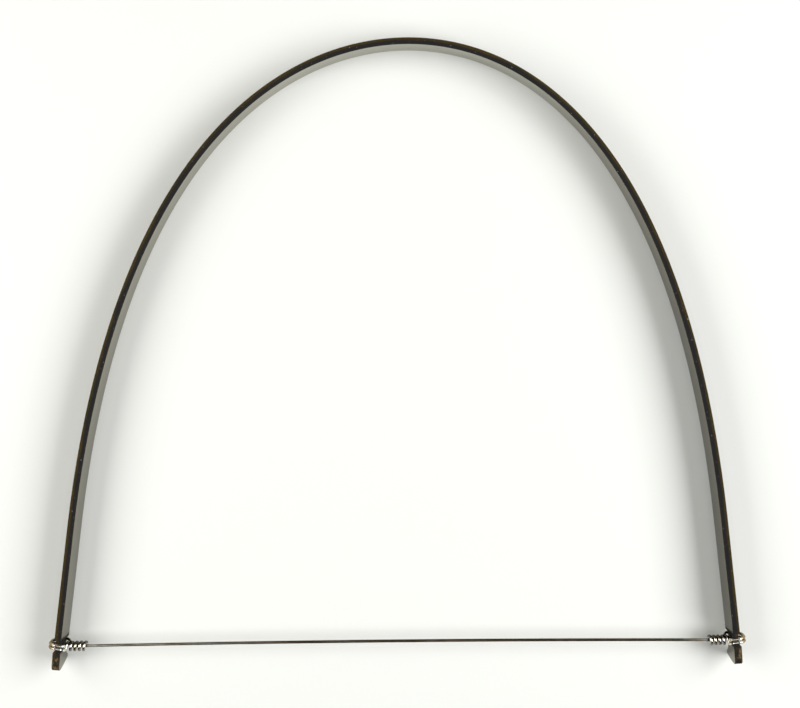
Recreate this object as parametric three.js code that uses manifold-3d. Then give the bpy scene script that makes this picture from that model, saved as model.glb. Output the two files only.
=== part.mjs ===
// Clay cutting bow: a flat steel strip bent to a tall arch, and one thin wire across its open end.
// The bow lies on the strip's lower edge. The wire runs along X and the crown of the arch is at +Y.
import * as THREE from "three";
import { mergeVertices } from "three/addons/utils/BufferGeometryUtils.js";
import Module from "manifold-3d";

// Plan of the arch, on the middle line of the strip
const span = 177.7; // from arm to arm along the wire
const rise = 156.8; // from the wire to the crown
const crownOffset = 3.9; // the crown stands a little to the right of the wire's middle
const crownReach = 32.4; // how far the crown's tangent guides the curve to each side
const shoulderDrop = 27.2; // from the crown down to the level of the arms' guide points
const leftToe = THREE.MathUtils.degToRad(82.6); // angle between the left arm and the wire
const rightToe = THREE.MathUtils.degToRad(84.1);
const straightLength = 30.8; // the arms run straight over this length before the wire
const tipLength = 6.2; // from the wire to the end of the strip

// Section of the strip
const stripWidth = 10;
const stripThickness = 1.8;
const edgeChamfer = 0.15;

// Ends of the strip: a notch in each edge leaves a neck for the wire
const neckWidth = 4.4;
const upperNotchStart = -2.4; // from the wire towards the tip
const upperNotchEnd = 2.4;
const lowerNotchStart = -1.8;
const lowerNotchEnd = 4.2;
const notchSlope = 0.4; // how far each wall of a notch leans out
const notchFillet = 0.5;
const upperCorner = 1.6; // radius of the tip's upper corner
const lowerCornerLength = 1.9; // the lower corner is filed to a longer, oval round
const lowerCornerHeight = 3.6;

// Wire, its two loops round each neck and its turns round itself
const wireDiameter = 0.8;
const neckClearance = 0.33; // between the wire and the neck
const turnGap = 0.48; // between neighbouring turns
const coreGap = 0.42; // between the turns and the straight wire inside them
const outerStandoff = 1.3; // the loops stand off the outer face
const twistTurns = 4.25;
const twistStandoff = 2.3; // from the inner face to the first turn's crest
const dipStandoff = 2.3; // from the inner face to where the straight wire starts to dip
const dipLead = 0.9; // how gently the dip starts
const dipHug = 1.7; // how early the dipping wire levels out under the neck
const dipSwing = 0.6; // how far it swings towards the crown on its way down
const innerCorner = 1.15; // bend radii of the loops
const outerCorner = 1.75;

// Fineness
const stripSteps = 132;
const loopSteps = 24;
const wireSides = 8;

const wasm = await Module();
wasm.setup();

const midHeight = stripWidth / 2;
const halfThickness = stripThickness / 2;
const pitch = wireDiameter + turnGap;
const twistRadius = wireDiameter + coreGap;
const twistStart = halfThickness + twistStandoff;
const dipStart = halfThickness + dipStandoff;
const up = new THREE.Vector3(0, 0, 1);

// Frame of one foot, the point where the strip's middle line crosses the wire.
// side is 1 at the right and -1 at the left. down runs along the strip to its tip, out is square to it.
function footFrame(side, toe) {
  return {
    side,
    foot: new THREE.Vector3(side * span / 2, 0, midHeight),
    down: new THREE.Vector3(side * Math.cos(toe), -Math.sin(toe), 0),
    out: new THREE.Vector3(side * Math.sin(toe), Math.cos(toe), 0),
  };
}

const rightEnd = footFrame(1, rightToe);
const leftEnd = footFrame(-1, leftToe);

function alongArm(end, length) {
  return end.foot.clone().addScaledVector(end.down, length);
}

// Half of the arch, as a curve from the crown to where the arm runs straight
function armCurve(end) {
  const crown = new THREE.Vector3(crownOffset, rise, midHeight);
  const crownGuide = crown.clone().setX(crownOffset + end.side * crownReach);
  const armGuide = alongArm(end, (rise - shoulderDrop) / end.down.y);
  return new THREE.CubicBezierCurve3(crown, crownGuide, armGuide, alongArm(end, -straightLength));
}

// The straight end of an arm, past the wire to the tip
function straightCurve(end) {
  return new THREE.LineCurve3(alongArm(end, -straightLength), alongArm(end, tipLength));
}

function reversed(curve) {
  if (curve.isLineCurve3) {
    return new THREE.LineCurve3(curve.v2, curve.v1);
  }
  return new THREE.CubicBezierCurve3(curve.v3, curve.v2, curve.v1, curve.v0);
}

// Middle line of the whole strip, from the left tip over the crown to the right tip
function stripRoute() {
  const route = new THREE.CurvePath();
  route.add(reversed(straightCurve(leftEnd)));
  route.add(reversed(armCurve(leftEnd)));
  route.add(armCurve(rightEnd));
  route.add(straightCurve(rightEnd));
  return route;
}

// Flat section with its four long edges taken off. Width runs along X, which the sweep turns to Z.
function stripSection() {
  const w = stripWidth / 2;
  const t = halfThickness;
  const c = edgeChamfer;
  const section = new THREE.Shape();
  section.moveTo(-w + c, -t);
  section.lineTo(w - c, -t);
  section.lineTo(w, -t + c);
  section.lineTo(w, t - c);
  section.lineTo(w - c, t);
  section.lineTo(-w + c, t);
  section.lineTo(-w, t - c);
  section.lineTo(-w, -t + c);
  section.closePath();
  return section;
}

function toSolid(geometry) {
  const bare = geometry.clone();
  bare.deleteAttribute("normal");
  bare.deleteAttribute("uv");
  const merged = mergeVertices(bare, 1e-4);
  const vertProperties = merged.getAttribute("position").array;
  const triVerts = Uint32Array.from(merged.getIndex().array);
  return new wasm.Manifold(new wasm.Mesh({ numProp: 3, vertProperties, triVerts }));
}

function toGeometry(solid) {
  const { vertProperties, triVerts } = solid.getMesh();
  const geometry = new THREE.BufferGeometry();
  geometry.setAttribute("position", new THREE.BufferAttribute(vertProperties, 3));
  geometry.setIndex(new THREE.BufferAttribute(triVerts, 1));
  const flat = geometry.toNonIndexed();
  flat.computeVertexNormals();
  return flat;
}

// Outline of the material filed out of an edge, X towards the tip and Y from mid width to the edge
function notchOutline(start, end) {
  const edge = stripWidth / 2;
  const bottom = neckWidth / 2;
  const clear = edge + stripWidth;
  const outline = new THREE.Shape();
  outline.moveTo(start, clear);
  outline.lineTo(start, edge);
  outline.lineTo(start + notchSlope, bottom + notchFillet);
  outline.quadraticCurveTo(start + notchSlope, bottom, start + notchSlope + notchFillet, bottom);
  outline.lineTo(end - notchSlope - notchFillet, bottom);
  outline.quadraticCurveTo(end - notchSlope, bottom, end - notchSlope, bottom + notchFillet);
  outline.lineTo(end, edge);
  outline.lineTo(end, clear);
  outline.closePath();
  return outline;
}

// Outline of what the rounding takes off a corner of the tip, in the same axes
function cornerOutline(length, height) {
  const edge = stripWidth / 2;
  const beyond = tipLength + stripWidth;
  const outline = new THREE.Shape();
  outline.moveTo(tipLength - length, edge);
  outline.lineTo(tipLength - length, edge + stripWidth);
  outline.lineTo(beyond, edge + stripWidth);
  outline.lineTo(beyond, edge - height);
  outline.lineTo(tipLength, edge - height);
  outline.absellipse(tipLength - length, edge - height, length, height, 0, Math.PI / 2, false, 0);
  return outline;
}

// A cutter straight through the strip's thickness. flip is 1 for the upper edge and -1 for the lower one.
function cutter(outline, end, flip) {
  const depth = stripThickness * 4;
  const geometry = new THREE.ExtrudeGeometry(outline, { depth, bevelEnabled: false, curveSegments: 6 });
  geometry.translate(0, 0, -depth / 2);
  const edgeward = up.clone().multiplyScalar(flip);
  const through = new THREE.Vector3().crossVectors(end.down, edgeward);
  const placed = new THREE.Matrix4().makeBasis(end.down, edgeward, through).setPosition(end.foot);
  return toSolid(geometry.applyMatrix4(placed));
}

function bowStrip() {
  const swept = new THREE.ExtrudeGeometry(stripSection(), { steps: stripSteps, extrudePath: stripRoute() });
  let solid = toSolid(swept);
  for (const end of [leftEnd, rightEnd]) {
    solid = solid.subtract(cutter(notchOutline(upperNotchStart, upperNotchEnd), end, 1));
    solid = solid.subtract(cutter(notchOutline(lowerNotchStart, lowerNotchEnd), end, -1));
    solid = solid.subtract(cutter(cornerOutline(upperCorner, upperCorner), end, 1));
    solid = solid.subtract(cutter(cornerOutline(lowerCornerLength, lowerCornerHeight), end, -1));
  }
  return toGeometry(solid);
}

// One loop round the neck, seen along the strip: X outwards, Y upwards from mid width.
// It starts under the neck on the inner side, goes out below, up the outer face and back over the neck.
const loopHeight = neckWidth / 2 + neckClearance + wireDiameter / 2;
const innerFlat = halfThickness + neckClearance + wireDiameter / 2 - innerCorner;
const outerFlat = halfThickness + outerStandoff + wireDiameter / 2 - outerCorner;

function neckLoop() {
  const loop = new THREE.Path();
  loop.moveTo(-innerFlat, -loopHeight);
  loop.absarc(outerFlat, outerCorner - loopHeight, outerCorner, -Math.PI / 2, 0, false);
  loop.absarc(outerFlat, loopHeight - outerCorner, outerCorner, 0, Math.PI / 2, false);
  loop.absarc(-innerFlat, loopHeight - innerCorner, innerCorner, Math.PI / 2, Math.PI, false);
  loop.absarc(-innerFlat, innerCorner - loopHeight, innerCorner, Math.PI, Math.PI * 1.5, false);
  return loop;
}

// One end of the wire as a list of points: the straight wire dips under the neck, goes round it so that
// two strands lie in each notch, comes back over the neck and twists round the straight wire.
function wireEnd(end) {
  const local = (down, out, height) => end.foot.clone()
    .addScaledVector(end.down, down)
    .addScaledVector(end.out, out)
    .addScaledVector(up, height);
  const beside = (inward, across, height) => end.foot.clone()
    .add(new THREE.Vector3(-end.side * inward, across, height));

  const loop = neckLoop();
  const innerSide = Math.PI * innerCorner + 2 * (loopHeight - innerCorner);
  const turns = 2 - innerSide / loop.getLength();
  const firstUnder = -pitch / 2;
  const lastOver = firstUnder + pitch * turns;

  const dip = new THREE.CubicBezierCurve3(
    beside(dipStart, 0, 0),
    beside(dipStart - dipLead, 0, 0),
    local(firstUnder - dipSwing, -innerFlat - dipHug, -loopHeight),
    local(firstUnder, -innerFlat, -loopHeight),
  );
  const points = dip.getPoints(loopSteps / 2);

  const neckSteps = Math.round(loopSteps * turns);
  for (let i = 1; i <= neckSteps; i += 1) {
    const turn = turns * i / neckSteps;
    const place = loop.getPoint(turn % 1);
    points.push(local(firstUnder + pitch * turn, place.x, place.y));
  }

  const lead = twistRadius * 1.2;
  const slope = pitch / (2 * Math.PI * twistRadius);
  const tail = new THREE.CubicBezierCurve3(
    local(lastOver, -innerFlat, loopHeight),
    local(lastOver, -innerFlat - twistStart + lead, loopHeight),
    beside(twistStart - lead * slope, -lead, twistRadius),
    beside(twistStart, 0, twistRadius),
  );
  points.push(...tail.getPoints(loopSteps / 2).slice(1));

  const twistSteps = Math.round(loopSteps * twistTurns);
  for (let i = 1; i <= twistSteps; i += 1) {
    const turn = twistTurns * i / twistSteps;
    const angle = Math.PI / 2 + 2 * Math.PI * turn;
    const across = -twistRadius * Math.cos(angle);
    points.push(beside(twistStart + pitch * turn, across, twistRadius * Math.sin(angle)));
  }

  // The cut end runs straight for one diameter
  const last = points.at(-1);
  const direction = last.clone().sub(points.at(-2)).normalize();
  points.push(last.clone().addScaledVector(direction, wireDiameter));
  return points;
}

// A route with one station at each given point, so that a sweep has a ring at every one of them
class StationRoute extends THREE.Curve {
  constructor(stations) {
    super();
    this.stations = stations;
  }

  getPoint(t) {
    const place = t * (this.stations.length - 1);
    const index = Math.min(Math.floor(place), this.stations.length - 2);
    return this.stations[index].clone().lerp(this.stations[index + 1], place - index);
  }

  getTangent(t) {
    const last = this.stations.length - 1;
    const index = Math.round(t * last);
    const before = this.stations[Math.max(index - 1, 0)];
    const after = this.stations[Math.min(index + 1, last)];
    return after.clone().sub(before).normalize();
  }

  getUtoTmapping(u) {
    return u;
  }
}

// Least distance between the wire's surface and itself, on points, leaving out near neighbours
function leastGap(stations) {
  const along = [0];
  for (let i = 1; i < stations.length; i += 1) {
    along.push(along[i - 1] + stations[i].distanceTo(stations[i - 1]));
  }
  const neighbour = wireDiameter * 3;
  const nearest = new THREE.Vector3();
  const stretch = new THREE.Line3();
  let least = Infinity;
  stations.forEach((point, i) => {
    for (let j = 1; j < stations.length; j += 1) {
      if (along[i] - along[j] > neighbour || along[j - 1] - along[i] > neighbour) {
        stretch.set(stations[j - 1], stations[j]).closestPointToPoint(point, true, nearest);
        least = Math.min(least, nearest.distanceTo(point) - wireDiameter);
      }
    }
  });
  return least;
}

function wireSection() {
  const corners = [];
  for (let i = 0; i < wireSides; i += 1) {
    const angle = 2 * Math.PI * i / wireSides;
    const corner = new THREE.Vector2(Math.cos(angle), Math.sin(angle));
    corners.push(corner.multiplyScalar(wireDiameter / 2));
  }
  return new THREE.Shape(corners);
}

function cuttingWire() {
  const left = wireEnd(leftEnd).reverse();
  const right = wireEnd(rightEnd);
  const straight = new THREE.LineCurve3(left.at(-1), right[0]);
  const stations = [...left, ...straight.getPoints(8).slice(1, -1), ...right];
  console.log(`least gap of the cutting wire to itself: ${leastGap(stations).toFixed(3)} mm`);
  return new THREE.ExtrudeGeometry(wireSection(), {
    steps: stations.length - 1,
    extrudePath: new StationRoute(stations),
  });
}

const blackenedSteel = new THREE.MeshStandardMaterial({ color: 0x2b2723, roughness: 0.42, metalness: 0.85 });
const wireSteel = new THREE.MeshStandardMaterial({ color: 0x8d8478, roughness: 0.28, metalness: 1 });

const strip = new THREE.Mesh(bowStrip(), blackenedSteel);
strip.name = "bow_strip";

const wire = new THREE.Mesh(cuttingWire(), wireSteel);
wire.name = "cutting_wire";

const bow = new THREE.Group();
bow.name = "clay_cutting_bow";
bow.add(strip, wire);

// The origin is under the middle of the whole bow, on the surface that it lies on
const extent = new THREE.Box3().setFromObject(bow);
const middle = extent.getCenter(new THREE.Vector3());
bow.position.set(-middle.x, -middle.y, -extent.min.z);

export default bow;
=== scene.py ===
# Clay cutting bow: a blackened steel strip bent to an arch, with one wire across its open end,
# lying on a white table and seen from straight above.
import math

import bmesh
import bpy
import numpy as np
from mathutils import Matrix, Vector
from mathutils.noise import noise


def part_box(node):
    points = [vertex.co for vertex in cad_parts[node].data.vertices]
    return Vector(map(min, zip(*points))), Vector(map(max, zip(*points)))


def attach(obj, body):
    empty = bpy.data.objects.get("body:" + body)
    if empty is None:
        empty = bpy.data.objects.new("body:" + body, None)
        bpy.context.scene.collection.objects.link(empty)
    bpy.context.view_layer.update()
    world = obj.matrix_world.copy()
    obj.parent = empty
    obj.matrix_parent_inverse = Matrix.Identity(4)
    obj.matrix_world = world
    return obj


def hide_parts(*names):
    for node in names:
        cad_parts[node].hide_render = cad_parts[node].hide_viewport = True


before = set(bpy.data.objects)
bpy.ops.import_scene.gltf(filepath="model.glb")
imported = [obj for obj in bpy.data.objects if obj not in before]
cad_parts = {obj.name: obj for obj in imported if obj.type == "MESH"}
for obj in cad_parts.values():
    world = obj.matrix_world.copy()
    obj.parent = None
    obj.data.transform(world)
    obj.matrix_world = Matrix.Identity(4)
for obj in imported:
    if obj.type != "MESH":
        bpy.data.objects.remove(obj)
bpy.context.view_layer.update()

MM = 0.001
scene = bpy.context.scene

# Plan of the arch, on the middle line of the strip, in millimetres and degrees
SPAN = 177.7
RISE = 156.8
CROWN_OFFSET = 3.9
CROWN_REACH = 32.4
SHOULDER_DROP = 27.2
LEFT_TOE = math.radians(82.6)
RIGHT_TOE = math.radians(84.1)
STRAIGHT_LENGTH = 30.8
TIP_LENGTH = 6.15
TIP_TURN = math.radians(2.0)  # past the wire the strip turns inwards a little
BEND_STEPS = 700
STRAIGHT_STEPS = 49
TIP_STEPS = 11

# Strip
strip_low, strip_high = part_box("bow_strip")
WIDTH = (strip_high.z - strip_low.z) / MM
THICKNESS = 1.8
TIP_SPREAD = 0.12  # share by which filing and hammering spread the tips past the notches
EDGE_RADIUS = 0.12
EDGE_PROFILE = 0.5  # a round one
EDGE_STEPS = 4
SLICE = 1.6  # length of the flat facets that follow the bend
SLICE_SNAP = 1e-5
NECK_WIDTH = 4.4
UPPER_NOTCH = (-2.0, 1.3)  # from the wire towards the tip
LOWER_NOTCH = (-1.4, 1.3)
NOTCH_SLOPE = 0.12
NOTCH_FILLET = 0.35
FILLET_STEPS = 6
LEFT_SCOOP = 3.4  # the lower notch rises in a scoop that ends here
RIGHT_SCOOP = 4.3
SCOOP_FLOOR = 1.1  # the handles of the scoop's curve, at its floor and at its lip
SCOOP_LIP = (0.5, 1.5)
SCOOP_STEPS = 10
LOWER_FLAT = 0.85  # what is left of the lower edge between the scoop and the slanting end
UPPER_CORNER = (1.5, 0.55)  # height and fullness of the round at the end of the tip
LOWER_CORNER = (8.0, 0.16)  # and of the slanting cut below it
CORNER_STEPS = 12

# Wire
WIRE = 0.8  # diameter
WIRE_SIDES = 20
WIRE_LOW = 0.56  # the stretched wire's ends lie this far towards the tips
WIRE_BOW = 0.54  # and its middle this far from a straight line, towards the crown
STRETCH_STEPS = 119
FIRST_UNDER = -0.575  # where the wire first passes under the neck, from the foot towards the tip
NECK_PITCH = 0.95  # between the two strands in a notch
SEAT = 0.02  # what is left between the wire and the neck where it bears on it
INNER_CORNER = 0.95  # of the loop round the neck, on the strip's inner side
OUTER_CORNER = 1.75
OUTER_STANDOFF = 1.3
INNER_STEPS = 16
OUTER_STEPS = 24
LOOP_POINTS = 64
DIP_START = 3.3  # the dip under the neck starts this far from the strip's middle line
DIP_LEAD = 0.7
DIP_HUG = 1.6
DIP_SWING = 1.4
LEAD_STEPS = 30
LEFT_PITCH = 1.17
RIGHT_PITCH = 1.1
TWIST_RADIUS = 1.0
TWIST_TURNS = 4.3
TWIST_START = 1.58  # from the strip's middle line to the crest of the first turn
TWIST_LEAD = 1.25  # the neck's last strand bends into the twist over this many of its radii
TURN_POINTS = 56
UNEVEN = 0.02  # share by which the twist's radius varies
UNEVEN_PACE = 1.7
UNEVEN_SIDE = 3.0  # sets the two ends' unevenness apart
TAIL = 0.6  # the cut end runs straight on for this many diameters
CUT_ROUND = 0.25  # share of the radius by which a cut end is rounded

# Painted shade and highlight on the wire, and its wear
CREVICE_END = 0.3  # the crevices reach this many turns past the last
TOP_LIGHT_START = 0.85  # above the twist's axis
TOP_LIGHT_FADE = 0.4
TIED_REACH = 14.0  # the tied wire stays bright this far from the strip, fading at the end
TIED_FADE = 7.0

MID = WIDTH / 2
HALF = THICKNESS / 2

# The middle of the wire's line, on the table, in the row frame
ORIGIN = np.array([0.0, strip_high.y / MM - RISE - HALF, strip_low.z / MM])


def to_row(points):
    """Places in millimetres from the middle of the wire, on the table, to metres in the row frame."""
    return (np.asarray(points, float) + ORIGIN) * MM


class End:
    """One end of the strip. side is 1 at the right and -1 at the left.

    foot is where the wire crosses, down runs along the arm to the tip, and out is square to it.
    """

    def __init__(self, side, toe, scoop, pitch):
        self.side = side
        self.scoop = scoop
        self.pitch = pitch
        self.foot = np.array([side * SPAN / 2, 0.0])
        self.down = np.array([side * math.cos(toe), -math.sin(toe)])
        self.out = np.array([side * math.sin(toe), math.cos(toe)])

    def local(self, down, out, height):
        """A place given along the arm."""
        flat = self.foot + self.down * down + self.out * out
        return np.array([flat[0], flat[1], MID + height])

    def beside(self, inward, across, height):
        """A place given along the stretched wire, inwards from the foot."""
        return np.array([self.foot[0] - self.side * inward, across - WIRE_LOW, MID + height])


RIGHT = End(1, RIGHT_TOE, RIGHT_SCOOP, RIGHT_PITCH)
LEFT = End(-1, LEFT_TOE, LEFT_SCOOP, LEFT_PITCH)


def bezier(places, steps):
    """Points of a cubic curve, both ends included."""
    a, b, c, d = (np.asarray(p, float) for p in places)
    t = np.linspace(0.0, 1.0, steps + 1)[:, None]
    s = 1.0 - t
    return s**3 * a + 3 * s**2 * t * b + 3 * s * t**2 * c + t**3 * d


def arc(centre, radius, start, end, steps):
    """Points round a circle. Angles are in degrees."""
    angles = np.linspace(math.radians(start), math.radians(end), steps + 1)
    return [(centre[0] + radius * math.cos(a), centre[1] + radius * math.sin(a)) for a in angles]


def arm(end):
    """Plan of one arm from the crown to the tip. It bends ever less, and runs straight at the wire."""
    crown = np.array([CROWN_OFFSET, RISE])
    guide = crown + np.array([end.side * CROWN_REACH, 0.0])
    reach = (RISE - SHOULDER_DROP) / -end.down[1]
    shoulder = end.foot - end.down * reach
    bent = bezier([crown, guide, shoulder, end.foot - end.down * STRAIGHT_LENGTH], BEND_STEPS)
    straight = end.foot + np.linspace(-STRAIGHT_LENGTH, 0, STRAIGHT_STEPS + 1)[1:, None] * end.down
    tip_down = math.cos(TIP_TURN) * end.down - math.sin(TIP_TURN) * end.out
    tip = end.foot + np.linspace(0, TIP_LENGTH, TIP_STEPS + 1)[1:, None] * tip_down
    return np.vstack([bent, straight, tip])


class Plan:
    """The strip's middle line from the left tip to the right one, by its length."""

    def __init__(self):
        self.points = np.vstack([arm(LEFT)[::-1], arm(RIGHT)[1:]])
        steps = np.hypot(*np.diff(self.points, axis=0).T)
        self.along = np.concatenate([[0.0], np.cumsum(steps)])
        self.length = self.along[-1]
        tangent = np.gradient(self.points, self.along, axis=0)
        tangent /= np.hypot(*tangent.T)[:, None]
        self.out = np.stack([-tangent[:, 1], tangent[:, 0]], axis=1)
        self.left_foot = TIP_LENGTH
        self.right_foot = self.length - TIP_LENGTH

    def at(self, along, out):
        x, y = (np.interp(along, self.along, self.points[:, k]) for k in range(2))
        nx, ny = (np.interp(along, self.along, self.out[:, k]) for k in range(2))
        scale = 1.0 / np.hypot(nx, ny)
        return x + nx * out * scale, y + ny * out * scale


PLAN = Plan()


def notch_start(start):
    """The side of a notch towards the arm, down to its floor."""
    centre = (start + NOTCH_SLOPE + NOTCH_FILLET, NECK_WIDTH / 2 + NOTCH_FILLET)
    return [(start, MID)] + arc(centre, NOTCH_FILLET, 180, 270, FILLET_STEPS)


def notch(start, end):
    """A notch from the arm to the tip, X to the tip and Y from mid width to the notched edge."""
    centre = (end - NOTCH_SLOPE - NOTCH_FILLET, NECK_WIDTH / 2 + NOTCH_FILLET)
    return notch_start(start) + arc(centre, NOTCH_FILLET, 270, 360, FILLET_STEPS) + [(end, MID)]


def scooped_notch(start, end, scoop):
    """A notch whose side to the tip rises in a long scoop."""
    floor = NECK_WIDTH / 2
    lip = (scoop - SCOOP_LIP[0], MID - SCOOP_LIP[1])
    rise = bezier([(end, floor), (end + SCOOP_FLOOR, floor), lip, (scoop, MID)], SCOOP_STEPS)
    return notch_start(start) + [tuple(p) for p in rise]


def tip_corner(length, corner):
    """The corner that ends one edge at the tip."""
    height, full = corner
    start, end = (TIP_LENGTH - length, MID), (TIP_LENGTH, MID - height)
    handles = (start[0] + full * length, MID), (TIP_LENGTH, end[1] + full * height)
    return [tuple(p) for p in bezier([start, *handles, end], CORNER_STEPS)]


def end_outline(end):
    """Outline of one end, from the upper edge round the tip to the lower edge. X is to the tip."""
    cut = TIP_LENGTH - LOWER_FLAT - end.scoop
    upper = notch(*UPPER_NOTCH) + tip_corner(UPPER_CORNER[0], UPPER_CORNER)
    lower = scooped_notch(*LOWER_NOTCH, end.scoop) + tip_corner(cut, LOWER_CORNER)
    return upper + [(x, -y) for x, y in lower][::-1]


def blank():
    """The strip before it is bent, with its long edges rounded. X is along, Y through, Z across."""
    right = [(PLAN.right_foot + x, y) for x, y in end_outline(RIGHT)]
    left = [(PLAN.left_foot - x, y) for x, y in end_outline(LEFT)][::-1]
    bm = bmesh.new()
    face = bm.faces.new([bm.verts.new((x, -HALF, y)) for x, y in right + left])
    made = bmesh.ops.extrude_face_region(bm, geom=[face])
    moved = [v for v in made["geom"] if isinstance(v, bmesh.types.BMVert)]
    bmesh.ops.translate(bm, verts=moved, vec=(0.0, THICKNESS, 0.0))
    bmesh.ops.recalc_face_normals(bm, faces=bm.faces)
    rims = [e for e in bm.edges if abs(e.verts[0].co.y - e.verts[1].co.y) < HALF]
    bmesh.ops.bevel(
        bm,
        geom=rims,
        offset=EDGE_RADIUS,
        segments=EDGE_STEPS,
        profile=EDGE_PROFILE,
        affect="EDGES",
        clamp_overlap=True,
    )
    return bm


def slice_across(bm):
    """Cuts the blank's faces into short lengths, so that it can bend."""
    slices = int(PLAN.length / SLICE)
    for i in range(1, slices):
        bmesh.ops.bisect_plane(
            bm,
            geom=bm.verts[:] + bm.edges[:] + bm.faces[:],
            dist=SLICE_SNAP,
            plane_co=(PLAN.length * i / slices, 0.0, 0.0),
            plane_no=(1.0, 0.0, 0.0),
        )


def bend(flat):
    """The blank's points on the bent strip, with its tips spread."""
    past = np.maximum(PLAN.left_foot - flat[:, 0], flat[:, 0] - PLAN.right_foot)
    spread = 1 + TIP_SPREAD * np.clip(past / UPPER_NOTCH[1], 0, 1)
    x, y = PLAN.at(flat[:, 0], flat[:, 1] * spread)
    return to_row(np.stack([x, y, flat[:, 2] + MID], axis=1))


def strip_mesh():
    bm = blank()
    slice_across(bm)
    flat = np.array([v.co for v in bm.verts])
    for v, place in zip(bm.verts, bend(flat)):
        v.co = place
    mesh = bpy.data.meshes.new("bow_strip_fine")
    bm.to_mesh(mesh)
    bm.free()
    keep_places(mesh, flat)
    return mesh


def neck_loop():
    """One loop round the neck, seen along the strip: X outwards, Y up from mid width."""
    height = NECK_WIDTH / 2 + SEAT + WIRE / 2
    inner = HALF + SEAT + WIRE / 2 - INNER_CORNER
    outer = HALF + OUTER_STANDOFF + WIRE / 2 - OUTER_CORNER
    loop = [(-inner, -height)]
    loop += arc((outer, OUTER_CORNER - height), OUTER_CORNER, -90, 0, OUTER_STEPS)
    loop += arc((outer, height - OUTER_CORNER), OUTER_CORNER, 0, 90, OUTER_STEPS)
    loop += arc((-inner, height - INNER_CORNER), INNER_CORNER, 90, 180, INNER_STEPS)
    loop += arc((-inner, INNER_CORNER - height), INNER_CORNER, 180, 270, INNER_STEPS)
    loop = np.array(loop)
    along = np.concatenate([[0.0], np.cumsum(np.hypot(*np.diff(loop, axis=0).T))])
    return loop, along, inner, height


def neck_strands(end, loop, along, turns):
    """The two strands round the neck."""
    strands = []
    for turn in np.linspace(0, turns, int(LOOP_POINTS * turns))[1:]:
        place = (turn % 1) * along[-1]
        out, up = (np.interp(place, along, loop[:, k]) for k in range(2))
        strands.append(end.local(FIRST_UNDER + NECK_PITCH * turn, out, up))
    return strands


def twist(end):
    """The turns round the stretched wire, after the first crest."""
    turns = []
    for turn in np.linspace(0, TWIST_TURNS, int(TURN_POINTS * TWIST_TURNS))[1:]:
        angle = math.pi / 2 + 2 * math.pi * turn
        uneven = 1 + UNEVEN * noise(Vector((turn * UNEVEN_PACE, end.side * UNEVEN_SIDE, 0.0)))
        radius = TWIST_RADIUS * uneven
        across, up = -radius * math.cos(angle), radius * math.sin(angle)
        turns.append(end.beside(TWIST_START + end.pitch * turn, across, up))
    return turns


def wire_end(end):
    """One end of the wire, from where the straight wire dips under the neck to its cut end."""
    loop, along, inner, height = neck_loop()
    inner_side = math.pi * INNER_CORNER + 2 * (height - INNER_CORNER)
    turns = 2 - inner_side / along[-1]
    last = FIRST_UNDER + NECK_PITCH * turns
    dip = [
        end.beside(DIP_START, 0, 0),
        end.beside(DIP_START - DIP_LEAD, 0, 0),
        end.local(FIRST_UNDER - DIP_SWING, -inner - DIP_HUG, -height),
        end.local(FIRST_UNDER, -inner, -height),
    ]
    lead = TWIST_RADIUS * TWIST_LEAD
    slope = end.pitch / (2 * math.pi * TWIST_RADIUS)
    into_twist = [
        end.local(last, -inner, height),
        end.local(last, -inner - TWIST_START + lead, height),
        end.beside(TWIST_START - lead * slope, -lead, TWIST_RADIUS),
        end.beside(TWIST_START, 0, TWIST_RADIUS),
    ]
    points = np.vstack(
        [
            bezier(dip, LEAD_STEPS),
            neck_strands(end, loop, along, turns),
            bezier(into_twist, LEAD_STEPS)[1:],
            twist(end),
        ]
    )
    direction = points[-1] - points[-2]
    direction /= np.linalg.norm(direction)
    return np.vstack([points, points[-1] + direction * WIRE * TAIL])


def tube_faces(rings, sides):
    """Faces between a tube's rings, and one that closes each end."""
    faces = []
    for i in range(rings - 1):
        for k in range(sides):
            a, b = i * sides + k, i * sides + (k + 1) % sides
            faces.append((a, b, b + sides, a + sides))
    faces.append(tuple(range(sides))[::-1])
    faces.append(tuple(range((rings - 1) * sides, rings * sides)))
    return faces


def sweep(points, radius, sides):
    """A closed round tube along the points, with a slightly rounded cut at each end."""
    tangent = np.gradient(points, axis=0)
    tangent /= np.linalg.norm(tangent, axis=1)[:, None]
    normal = np.cross(tangent[0], [0.0, 0.0, 1.0])
    rings, own = [], []
    along = 0.0
    angles = np.linspace(0, 2 * math.pi, sides, endpoint=False)
    cut = radius * CUT_ROUND
    # Each ring's inset and its shift along the wire: two at a cut end, and one anywhere else
    steps = {0: [(cut, 0.0), (0.0, cut)], len(points) - 1: [(0.0, -cut), (cut, 0.0)]}
    for i, place in enumerate(points):
        normal = normal - tangent[i] * np.dot(normal, tangent[i])
        normal /= np.linalg.norm(normal)
        side = np.cross(tangent[i], normal)
        if i:
            along += np.linalg.norm(place - points[i - 1])
        ring = np.outer(np.cos(angles), normal) + np.outer(np.sin(angles), side)
        for inset, shift in steps.get(i, [(0.0, 0.0)]):
            rings.append(place + tangent[i] * shift + ring * (radius - inset))
            own += [(along, radius * math.cos(a), radius * math.sin(a)) for a in angles]
    return np.vstack(rings), tube_faces(len(rings), sides), own


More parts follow.
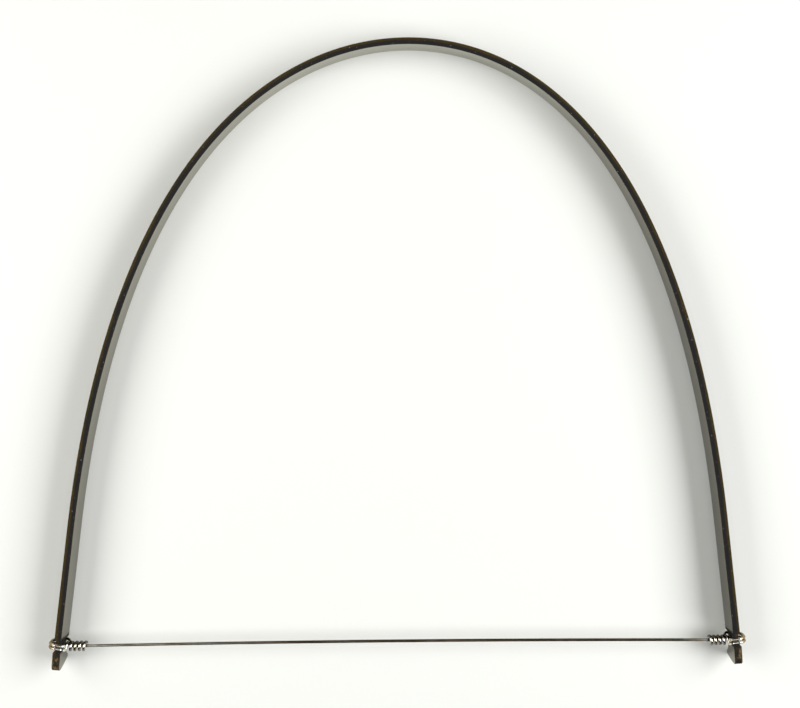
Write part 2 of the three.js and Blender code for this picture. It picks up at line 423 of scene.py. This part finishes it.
def crevices(points):
    """How deep each point lies in a crevice, where the wire is painted in shade: 1 against the neck or the
    twist's core, 0 in the open.
    """
    deep = np.zeros(len(points))
    height = points[:, 2] - MID
    core = np.hypot(points[:, 1] + WIRE_LOW, height) - WIRE / 2
    for end in (LEFT, RIGHT):
        inward = (end.foot[0] - points[:, 0]) * end.side
        out = (points[:, :2] - end.foot) @ end.out
        neck = np.hypot(np.maximum(abs(out) - HALF, 0), np.maximum(abs(height) - NECK_WIDTH / 2, 0))
        gap = np.where(inward > TWIST_START - end.pitch / 2, core, neck)
        near = inward < TWIST_START + end.pitch * (TWIST_TURNS + CREVICE_END)
        deep = np.maximum(deep, np.where(near, 1 - gap / WIRE, 0))
    return np.clip(deep, 0, 1)


def loops(points):
    """1 where the wire rounds the strip's outer face, 0 elsewhere."""
    outside = [(points[:, :2] - end.foot) @ end.out - HALF for end in (LEFT, RIGHT)]
    return np.clip(np.max(outside, axis=0) / OUTER_STANDOFF, 0, 1)


def lit_turn_tops(points):
    """Painted highlight and shade: 1 on top of the twist's turns, painted bright, and 0 on their sides,
    painted dark.
    """
    height = abs(points[:, 2] - MID)
    turned = np.hypot(points[:, 1] + WIRE_LOW, height) > TWIST_RADIUS - WIRE / 2
    return np.where(turned, np.clip((height - TOP_LIGHT_START) / TOP_LIGHT_FADE, 0, 1), 1.0)


def tied(points):
    """1 at the tied ends of the wire, 0 on its stretch between the arms."""
    return np.clip((abs(points[:, 0]) - SPAN / 2 + TIED_REACH) / TIED_FADE, 0, 1)


def keep_places(mesh, places):
    """Stores each point's own place, in millimetres, for the materials."""
    layer = mesh.attributes.new("own_place", "FLOAT_VECTOR", "POINT")
    layer.data.foreach_set("vector", np.asarray(places, np.float32).ravel())


def keep_values(mesh, name, values):
    mesh.attributes.new(name, "FLOAT", "POINT").data.foreach_set("value", values)


def wire_mesh():
    left = wire_end(LEFT)[::-1]
    right = wire_end(RIGHT)
    middle = np.linspace(left[-1], right[0], STRETCH_STEPS + 1)[1:-1]
    middle[:, 1] += WIRE_BOW * (1 - (middle[:, 0] / right[0][0]) ** 2)
    points = np.vstack([left, middle, right])
    verts, faces, own = sweep(points, WIRE / 2, WIRE_SIDES)
    mesh = bpy.data.meshes.new("cutting_wire_fine")
    mesh.from_pydata(to_row(verts).tolist(), [], faces)
    mesh.validate()
    bm = bmesh.new()
    bm.from_mesh(mesh)
    bmesh.ops.recalc_face_normals(bm, faces=bm.faces)
    bm.to_mesh(mesh)
    bm.free()
    keep_places(mesh, own)
    keep_values(mesh, "crevice", crevices(verts))
    keep_values(mesh, "looped", loops(verts))
    keep_values(mesh, "lit_turn_tops", lit_turn_tops(verts))
    keep_values(mesh, "tied", tied(verts))
    return mesh


# Colours, as linear red, green and blue. A pair is the two ends of a clouded or grainy mix.
PITCH_DARK = (0.0, 0.0, 0.0, 1)
# Painted reflection: the faces' sheen on the arms, and the brighter one round the crown
ARM_SHEEN = (0.36, 0.315, 0.22, 1)
CROWN_SHEEN = (0.375, 0.37, 0.34, 1)
GRAZING_SHEEN = (0.93, 0.92, 0.86, 1)
EDGE_BLACKS = (0.012, 0.0125, 0.014, 1), (0.021, 0.020, 0.0195, 1)
RIM_BROWNS = (0.034, 0.022, 0.005, 1), (0.062, 0.044, 0.014, 1)
TIP_BROWN = (0.16, 0.11, 0.05, 1)
BARE_STEEL = (0.32, 0.30, 0.27, 1)
STRETCH_PALES = (0.44, 0.42, 0.37, 1), (0.34, 0.28, 0.19, 1)
STRETCH_BROWNS = (0.13, 0.105, 0.075, 1), (0.09, 0.065, 0.035, 1)
TIED_BRIGHTS = (0.82, 0.80, 0.74, 1), (0.55, 0.44, 0.28, 1)
# Painted shade on the sides of the twist's turns
TWIST_SIDE_SHADE = (0.12, 0.10, 0.08, 1)
LOOP_GOLD = (0.36, 0.27, 0.14, 1)
# Painted shade in the wire's crevices
CREVICE_SHADE_COLOUR = (0.03, 0.024, 0.018, 1)
TABLE_WHITES = (0.825, 0.84, 0.815, 1), (0.845, 0.86, 0.835, 1)

# Noises: scale along, through and across the piece, per millimetre, then detail and its strength
NOISE_ROUGH = 0.55  # the strength of a noise's detail where it names none
STEEL_CLOUD = (0.12, 0.5, 0.5), 4.0
STEEL_GRAIN = (0.8, 6.0, 6.0), 5.0, 0.65
RUST_SPOTS = (0.4, 0.7, 0.7), 3.0
BARE_SPOTS = (1.1, 2.6, 2.6), 2.0
WIRE_CLOUD = (0.35, 1.0, 1.0), 4.0
WIRE_LINES = (0.4, 9.0, 9.0), 3.0

# Ranges of a noise's value over which a colour or a dullness comes in
NOISE_MIDDLE = (0.3, 0.7)
TIP_LEVELS = (0.45, 0.6)
RUST_LEVELS = (0.5, 0.58)
BROWN_LEVELS = (0.35, 0.65)
BARE_LEVELS = (0.70, 0.74)
STAIN_LEVELS = (0.38, 0.66)
BRIGHT_LEVELS = (0.4, 0.7)

# Where the strip's colours come in, in millimetres: through it, then past the foot towards the tip
EDGE_BAND = (HALF - 0.03, HALF - 0.09)
RIM_BAND = (HALF - 0.9, HALF - 0.3)
RIM_WANDER = 0.25
TIP_BAND = (0.0, 1.5)
TIP_BROWNING = 0.45
RUST_BAND = (1.5, 2.5)
NECK_SHADE_SHIFT = 0.4  # painted shade of the wire's loops on the faces round here, just short of the foot
NECK_SHADE_BAND = (2.4, 1.4)

# Painted reflection: sheen of the faces, as a share of the full sheen, over shares of the strip's length
LEFT_RISE = (0.1, 0.5)
LEFT_SHEEN = 0.38
RIGHT_FALL = (0.6, 0.78)
RIGHT_SHEEN = 0.27
CROWN_LEVEL = 0.5  # from this share of the sheen on, a face takes on the crown's look
LOW_EDGE_SHEEN = (0.22, 0.9)  # painted shade at the lower edge, on the arms and at the crown
CLOUDED_SHEEN = 0.8
NECK_SHADE_SHEEN = 0.1
LEFT_TIP_SHEEN = 0.57
LEFT_TIP_FADE = 0.8  # share of the tip's length over which that holds

# Roughness and metal
BLACKING_IOR = 1.12
STEEL_DULL = (0.08, 0.16)
EDGE_DULL = 0.12
NECK_SHADE_DULL = 0.4
WIRE_DULL = (0.14, 0.26)
LOOP_DULL = 0.22
TABLE_DULL = 0.6
CREVICE_SHADE_METAL = 0.3
CREVICE_SHADE_DEPTHS = (0.15, 0.55)  # of a crevice, over which the painted shade comes in
BROWN_STRETCH = (75.0, 120.0)  # millimetres of wire over which its brown deepens
GRAIN_STRENGTH = 0.2
GRAIN_DEPTH = 0.00002  # metres

# The mix node's sockets for colours: its factor and two inputs, and its output
MIX_INPUTS = (0, 6, 7)
MIX_OUTPUT = 2


class Nodes:
    """Short names for building a material's node tree."""

    def __init__(self, name):
        self.material = bpy.data.materials.new(name)
        self.material.use_nodes = True
        self.tree = self.material.node_tree
        self.shader = self.tree.nodes["Principled BSDF"]

    def add(self, kind, inputs=(), **settings):
        node = self.tree.nodes.new(kind)
        for key, value in settings.items():
            setattr(node, key, value)
        for key, value in dict(inputs).items():
            self.put(node.inputs[key], value)
        return node

    def put(self, socket, value):
        if isinstance(value, bpy.types.NodeSocket):
            self.tree.links.new(value, socket)
        else:
            socket.default_value = value

    def surface(self, **values):
        """Sets the shader's sockets. An underscore in a name stands for a space."""
        for name, value in values.items():
            self.put(self.shader.inputs[name.replace("_", " ")], value)

    def place(self, scale):
        """Each point's own place along, through and across the piece, scaled on each axis."""
        own = self.add("ShaderNodeAttribute", attribute_name="own_place")
        scaled = self.add("ShaderNodeMapping", {"Vector": own.outputs["Vector"], "Scale": scale})
        return scaled.outputs["Vector"]

    def own(self, axis):
        """One of the own-place coordinates: X along, Y through, Z across the piece."""
        place = self.add("ShaderNodeAttribute", attribute_name="own_place")
        split = self.add("ShaderNodeSeparateXYZ", {"Vector": place.outputs["Vector"]})
        return split.outputs[axis]

    def kept(self, name):
        """A value stored with the mesh by keep_values."""
        return self.add("ShaderNodeAttribute", attribute_name=name).outputs["Fac"]

    def noise(self, scale, detail, rough=NOISE_ROUGH):
        made = self.add(
            "ShaderNodeTexNoise",
            {"Vector": self.place(scale), "Scale": 1.0, "Detail": detail, "Roughness": rough},
        )
        return made.outputs["Fac"]

    def between(self, value, low, high, out_low=0.0, out_high=1.0):
        made = self.add(
            "ShaderNodeMapRange",
            {"Value": value, "From Min": low, "From Max": high, "To Min": out_low, "To Max": out_high},
        )
        return made.outputs["Result"]

    def mix(self, factor, a, b):
        """A colour from a to b. The sockets go by number, as each name stands for several."""
        made = self.add("ShaderNodeMix", data_type="RGBA")
        for socket, value in zip(MIX_INPUTS, (factor, a, b)):
            self.put(made.inputs[socket], value)
        return made.outputs[MIX_OUTPUT]

    def math(self, operation, a, b=0.0):
        made = self.add("ShaderNodeMath", operation=operation)
        self.put(made.inputs[0], a)
        self.put(made.inputs[1], b)
        return made.outputs[0]

    def times(self, first, *others):
        product = first
        for other in others:
            product = self.math("MULTIPLY", product, other)
        return product

    def bump(self, height):
        made = self.add(
            "ShaderNodeBump", {"Height": height, "Strength": GRAIN_STRENGTH, "Distance": GRAIN_DEPTH}
        )
        self.surface(Normal=made.outputs["Normal"])


def face_colour(n, cloud, neck_shade):
    """The broad faces' sheen, a painted reflection: strongest round the crown, weaker on the arms, darker on
    the left tip, with painted shade towards the lower edge and round the neck.
    """
    rise, fall = ([PLAN.length * share for share in stretch] for stretch in (LEFT_RISE, RIGHT_FALL))
    # Painted reflection: the sheen rises from the left arm to the crown and falls again on the right arm
    left_arm = n.between(n.own("X"), *rise, LEFT_SHEEN, 1.0)
    right_arm = n.between(n.own("X"), *fall, 1.0, RIGHT_SHEEN)
    arms = n.times(left_arm, right_arm)
    crown = n.between(arms, CROWN_LEVEL, 1.0)
    low_edge = n.between(crown, 0.0, 1.0, *LOW_EDGE_SHEEN)
    # Painted shade: the faces darken towards the lower edge
    foot_shade = n.between(n.own("Z"), -MID, MID, low_edge, 1.0)
    clouded = n.between(cloud, *NOISE_MIDDLE, CLOUDED_SHEEN, 1.0)
    neck_unshaded = n.between(neck_shade, 0.0, 1.0, 1.0, NECK_SHADE_SHEEN)
    left_tip = n.between(n.own("X"), TIP_LENGTH * LEFT_TIP_FADE, TIP_LENGTH, LEFT_TIP_SHEEN, 1.0)
    tone = n.times(foot_shade, arms, clouded, neck_unshaded, left_tip)
    return n.mix(tone, PITCH_DARK, n.mix(crown, ARM_SHEEN, CROWN_SHEEN))


def edge_colour(n, cloud, grain, past):
    """The cut edges: black, browned at the outer rim and on the tips."""
    worn = n.math("ADD", n.own("Y"), n.between(cloud, *NOISE_MIDDLE, -RIM_WANDER, RIM_WANDER))
    tips = n.times(n.between(past, *TIP_BAND, 0.0, TIP_BROWNING), n.between(grain, *TIP_LEVELS))
    rim = n.math("MAXIMUM", n.between(worn, *RIM_BAND), tips)
    patches = n.times(n.between(past, *RUST_BAND), n.between(n.noise(*RUST_SPOTS), *RUST_LEVELS))
    black = n.mix(n.between(grain, *NOISE_MIDDLE), *EDGE_BLACKS)
    brown = n.mix(n.between(grain, *BROWN_LEVELS), *RIM_BROWNS)
    return n.mix(patches, n.mix(rim, black, brown), TIP_BROWN)


def blackened_steel():
    """Oil-blackened spring steel: faces with a soft sheen, dark cut edges, browned at the rim and tips."""
    n = Nodes("blackened_steel")
    cloud = n.noise(*STEEL_CLOUD)
    grain = n.noise(*STEEL_GRAIN)
    edge = n.between(n.math("ABSOLUTE", n.own("Y")), *EDGE_BAND)
    from_middle = n.math("ABSOLUTE", n.math("SUBTRACT", n.own("X"), PLAN.length / 2))
    past = n.math("SUBTRACT", from_middle, PLAN.length / 2 - TIP_LENGTH)
    # Painted shade round the neck, under the wire's loops; the faces are rougher there too
    neck_shade = n.between(n.math("ABSOLUTE", n.math("ADD", past, NECK_SHADE_SHIFT)), *NECK_SHADE_BAND)
    bare = n.times(edge, n.between(n.noise(*BARE_SPOTS), *BARE_LEVELS))
    colour = n.mix(edge, face_colour(n, cloud, neck_shade), edge_colour(n, cloud, grain, past))
    dull = n.math("ADD", n.between(grain, *NOISE_MIDDLE, *STEEL_DULL), n.times(edge, EDGE_DULL))
    n.surface(
        Base_Color=n.mix(bare, colour, BARE_STEEL),
        Metallic=n.math("SUBTRACT", 1.0, edge),
        Roughness=n.math("ADD", dull, n.times(neck_shade, NECK_SHADE_DULL)),
        IOR=BLACKING_IOR,
        Specular_Tint=GRAZING_SHEEN,
    )
    n.bump(grain)
    return n.material


def wire_steel():
    """Music wire: painted highlight on top of its turns, painted shade on their sides and in its crevices,
    and browned by wet clay between the arms.
    """
    n = Nodes("wire_steel")
    cloud = n.noise(*WIRE_CLOUD)
    lines = n.noise(*WIRE_LINES)
    looped = n.kept("looped")
    # Painted shade: the wire darkens and dulls in its crevices
    painted_crevice_shade = n.between(n.kept("crevice"), *CREVICE_SHADE_DEPTHS)
    stained = n.between(cloud, *STAIN_LEVELS)
    pale, deep = n.mix(stained, *STRETCH_PALES), n.mix(stained, *STRETCH_BROWNS)
    browned = n.mix(n.between(n.own("X"), *BROWN_STRETCH), pale, deep)
    bright = n.mix(n.between(cloud, *BRIGHT_LEVELS), *TIED_BRIGHTS)
    # Painted highlight on the tops of the turns, painted shade on their sides
    bright = n.mix(looped, n.mix(n.kept("lit_turn_tops"), TWIST_SIDE_SHADE, bright), LOOP_GOLD)
    dull = n.math("ADD", n.between(lines, *NOISE_MIDDLE, *WIRE_DULL), n.times(looped, LOOP_DULL))
    n.surface(
        Base_Color=n.mix(painted_crevice_shade, n.mix(n.kept("tied"), browned, bright), CREVICE_SHADE_COLOUR),
        Metallic=n.between(painted_crevice_shade, 0.0, 1.0, 1.0, CREVICE_SHADE_METAL),
        Roughness=dull,
    )
    n.bump(lines)
    return n.material


TABLE_SIZE = 3.0  # metres
TABLE_NOISE = {"Scale": 6.0, "Detail": 2.0}


def table_white():
    n = Nodes("table_white")
    soft = n.add("ShaderNodeTexNoise", TABLE_NOISE)
    n.surface(Base_Color=n.mix(soft.outputs["Fac"], *TABLE_WHITES), Roughness=TABLE_DULL)
    return n.material


def add_table():
    bpy.ops.mesh.primitive_plane_add(size=TABLE_SIZE, location=(0, 0, strip_low.z))
    table = bpy.context.object
    table.name = "table"
    table.data.materials.append(table_white())


# Camera, above the bow and looking almost straight down. Places are in millimetres, angles in radians.
CAMERA_HEIGHT = 407.4  # above the table
CAMERA_OVER = (1.47, 88.05)  # from the middle of the wire
CAMERA_TIP = 0.0304  # towards the wire
CAMERA_ROLL = 0.0096
FOCAL_PIXELS = 1532.1
FRAME_PIXELS = 800
SENSOR = 36.0
CLIP_START, CLIP_END = 0.01, 10.0  # metres


def add_camera():
    data = bpy.data.cameras.new("camera")
    camera = bpy.data.objects.new("camera", data)
    scene.collection.objects.link(camera)
    data.sensor_width = SENSOR
    data.lens = FOCAL_PIXELS * SENSOR / FRAME_PIXELS
    data.clip_start = CLIP_START
    data.clip_end = CLIP_END
    right = Vector((1, 0, 0))
    up = Vector((0, math.cos(CAMERA_TIP), -math.sin(CAMERA_TIP)))
    back = Vector((0, math.sin(CAMERA_TIP), math.cos(CAMERA_TIP)))
    c, s = math.cos(CAMERA_ROLL), math.sin(CAMERA_ROLL)
    turned = Matrix((c * right - s * up, s * right + c * up, back)).transposed().to_4x4()
    camera.matrix_world = Matrix.Translation(to_row([*CAMERA_OVER, CAMERA_HEIGHT])) @ turned
    scene.camera = camera


# Softboxes aimed at the bow: place and size in metres, power in watts, colour.
# The size is given along Y, then square to that.
SOFTBOXES = {
    "right_light": ((0.61, 0.03, 0.55), (0.78, 0.52), 7.6, (1.0, 0.995, 0.98)),
    "left_light": ((-0.395, 0.02, 0.355), (0.50, 0.35), 1.97, (1.0, 0.985, 0.95)),
    "top_light": ((0.0, 0.0, 1.2), (0.7, 0.7), 2.15, (1.0, 0.995, 0.98)),
}
ROOM_COLOUR = (1.0, 1.0, 0.99, 1)
ROOM_STRENGTH = 0.053


def add_softbox(name, place, size, power, colour):
    data = bpy.data.lights.new(name, "AREA")
    data.shape = "RECTANGLE"
    data.size, data.size_y = size
    data.energy = power
    data.color = colour
    light = bpy.data.objects.new(name, data)
    scene.collection.objects.link(light)
    light.location = place
    light.rotation_euler = (-Vector(place)).to_track_quat("-Z", "Y").to_euler()


def add_light():
    for name, settings in SOFTBOXES.items():
        add_softbox(name, *settings)
    world = bpy.data.worlds.new("studio")
    scene.world = world
    world.use_nodes = True
    background = world.node_tree.nodes["Background"]
    background.inputs["Color"].default_value = ROOM_COLOUR
    background.inputs["Strength"].default_value = ROOM_STRENGTH


# Degrees from which an edge is shaded sharp
STRIP_SHARP = 38
WIRE_SHARP = 60


def add_piece(name, mesh, material, node, sharp):
    piece = bpy.data.objects.new(name, mesh)
    scene.collection.objects.link(piece)
    mesh.materials.append(material)
    mesh.shade_smooth()
    mesh.set_sharp_from_angle(angle=math.radians(sharp))
    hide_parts(node)
    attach(piece, "root")
    return piece


def level_faces(piece):
    """The broad faces keep their own normals, and only the rims shade round."""
    piece.modifiers.new("level_faces", "WEIGHTED_NORMAL").keep_sharp = True


add_camera()
add_table()
add_light()
scene.view_settings.view_transform = "Standard"

strip = add_piece("spring_strip", strip_mesh(), blackened_steel(), "bow_strip", STRIP_SHARP)
level_faces(strip)
add_piece("tied_wire", wire_mesh(), wire_steel(), "cutting_wire", WIRE_SHARP)
